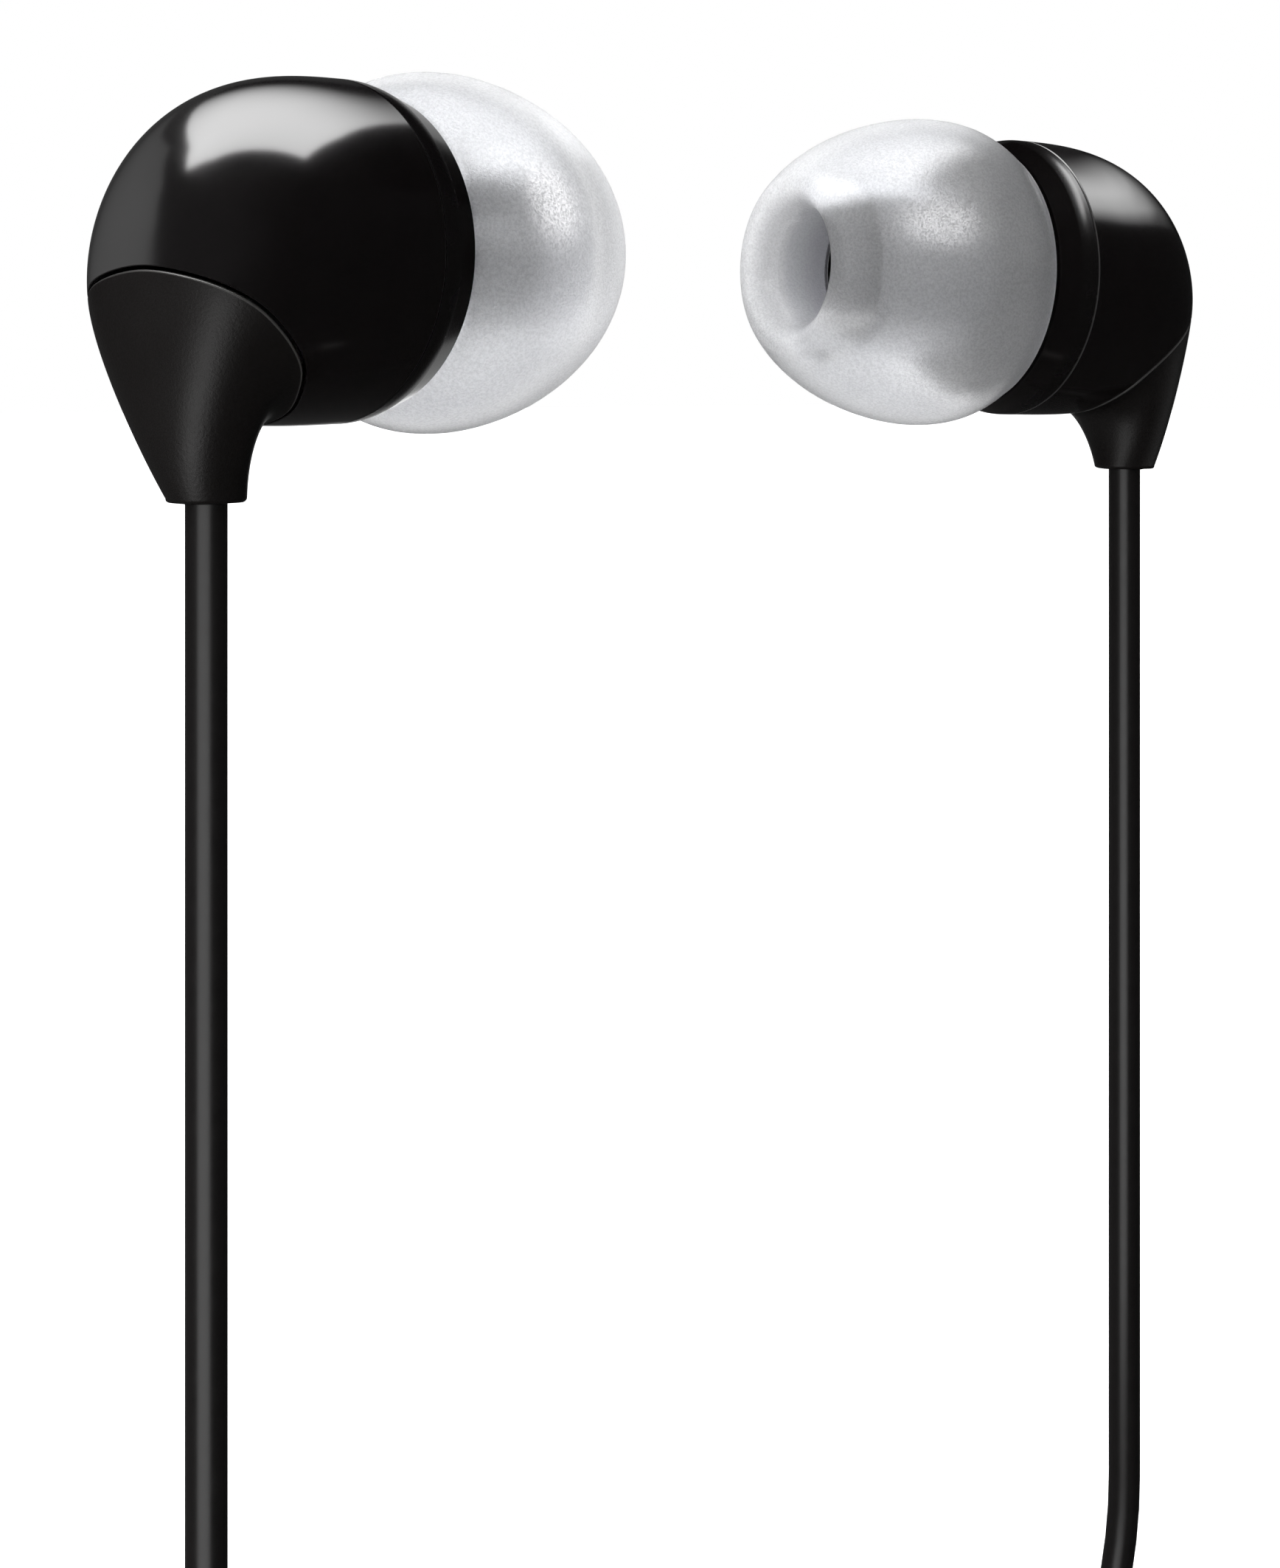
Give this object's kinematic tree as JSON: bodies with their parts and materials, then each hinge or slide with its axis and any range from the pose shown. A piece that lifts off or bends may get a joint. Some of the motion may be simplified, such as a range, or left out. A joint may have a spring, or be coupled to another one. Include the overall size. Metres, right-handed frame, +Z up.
{
  "type": "wired earphones",
  "caption": "In-ear wired earphones: glossy black housings with soft silicone tips and strain reliefs, thin cords into a splitter and coil, and a straight stereo plug.",
  "frame": {"origin": "midway between the seams of the two earbuds, where the wearer's head is", "axes": "+X from the left earbud to the right one, +Y the way the wearer faces, +Z up"},
  "size_m": [0.0555, 0.0477, 0.0764],
  "materials": {
    "rear_shell": "polished black",
    "front_shell": "polished black with a dark mirror bevel",
    "strain_relief": "matt charcoal, fine grain",
    "silicone": "frosted translucent silicone",
    "mesh": "fine etched mesh",
    "gasket": "soft foam ring",
    "driver_metal": "stamped and plated",
    "film": "thin translucent film",
    "copper": "copper",
    "magnet": "nickel-plated sintered magnet",
    "felt": "felt",
    "board": "solder-masked laminate",
    "crimp": "moulded collar",
    "wire": "enamelled wire",
    "cord": "satin black jacket",
    "moulding": "satin black moulding",
    "core": "natural moulded core",
    "contact": "nickel-plated contact",
    "insulator": "black insulator"
  },
  "bodies": {
    "earphones": {"branch_coil": "cord", "left_branch_end": "cord", "left_cord": "cord", "left_cord_crimp": "crimp", "left_damping_felt": "felt", "left_diaphragm": "film", "left_driver_cover": "driver_metal", "left_driver_frame": "driver_metal", "left_driver_gasket": "gasket", "left_front_shell": "front_shell", "left_inner_wire": "wire", "left_magnet": "magnet", "left_nozzle_mesh": "mesh", "left_outer_wire": "wire", "left_pole_plate": "driver_metal", "left_rear_cap": "rear_shell", "left_strain_relief": "strain_relief", "left_terminal_board": "board", "left_voice_coil": "copper", "left_yoke": "driver_metal", "main_coil": "cord", "main_lead": "cord", "main_tail": "cord", "plug_boot": "strain_relief", "plug_core": "core", "plug_front_insulator": "insulator", "plug_grip": "moulding", "plug_rear_insulator": "insulator", "plug_ring_contact": "contact", "plug_sleeve_contact": "contact", "plug_tip_contact": "contact", "right_branch_end": "cord", "right_cord": "cord", "right_cord_crimp": "crimp", "right_damping_felt": "felt", "right_diaphragm": "film", "right_driver_cover": "driver_metal", "right_driver_frame": "driver_metal", "right_driver_gasket": "gasket", "right_front_shell": "front_shell", "right_inner_wire": "wire", "right_magnet": "magnet", "right_nozzle_mesh": "mesh", "right_outer_wire": "wire", "right_pole_plate": "driver_metal", "right_rear_cap": "rear_shell", "right_strain_relief": "strain_relief", "right_terminal_board": "board", "right_voice_coil": "copper", "right_yoke": "driver_metal", "splitter": "moulding", "splitter_crimp": "copper"},
    "left_tip": {"left_ear_tip": "silicone"},
    "right_tip": {"right_ear_tip": "silicone"}
  },
  "joints": [
    {"name": "left_tip_pull", "type": "slide", "parent": "earphones", "child": "left_tip", "axis": [0.986, 0.165, 0.0244], "range_m": [0, 0.0048]},
    {"name": "right_tip_pull", "type": "slide", "parent": "earphones", "child": "right_tip", "axis": [-0.986, 0.165, 0.0244], "range_m": [0, 0.0048]}
  ]
}
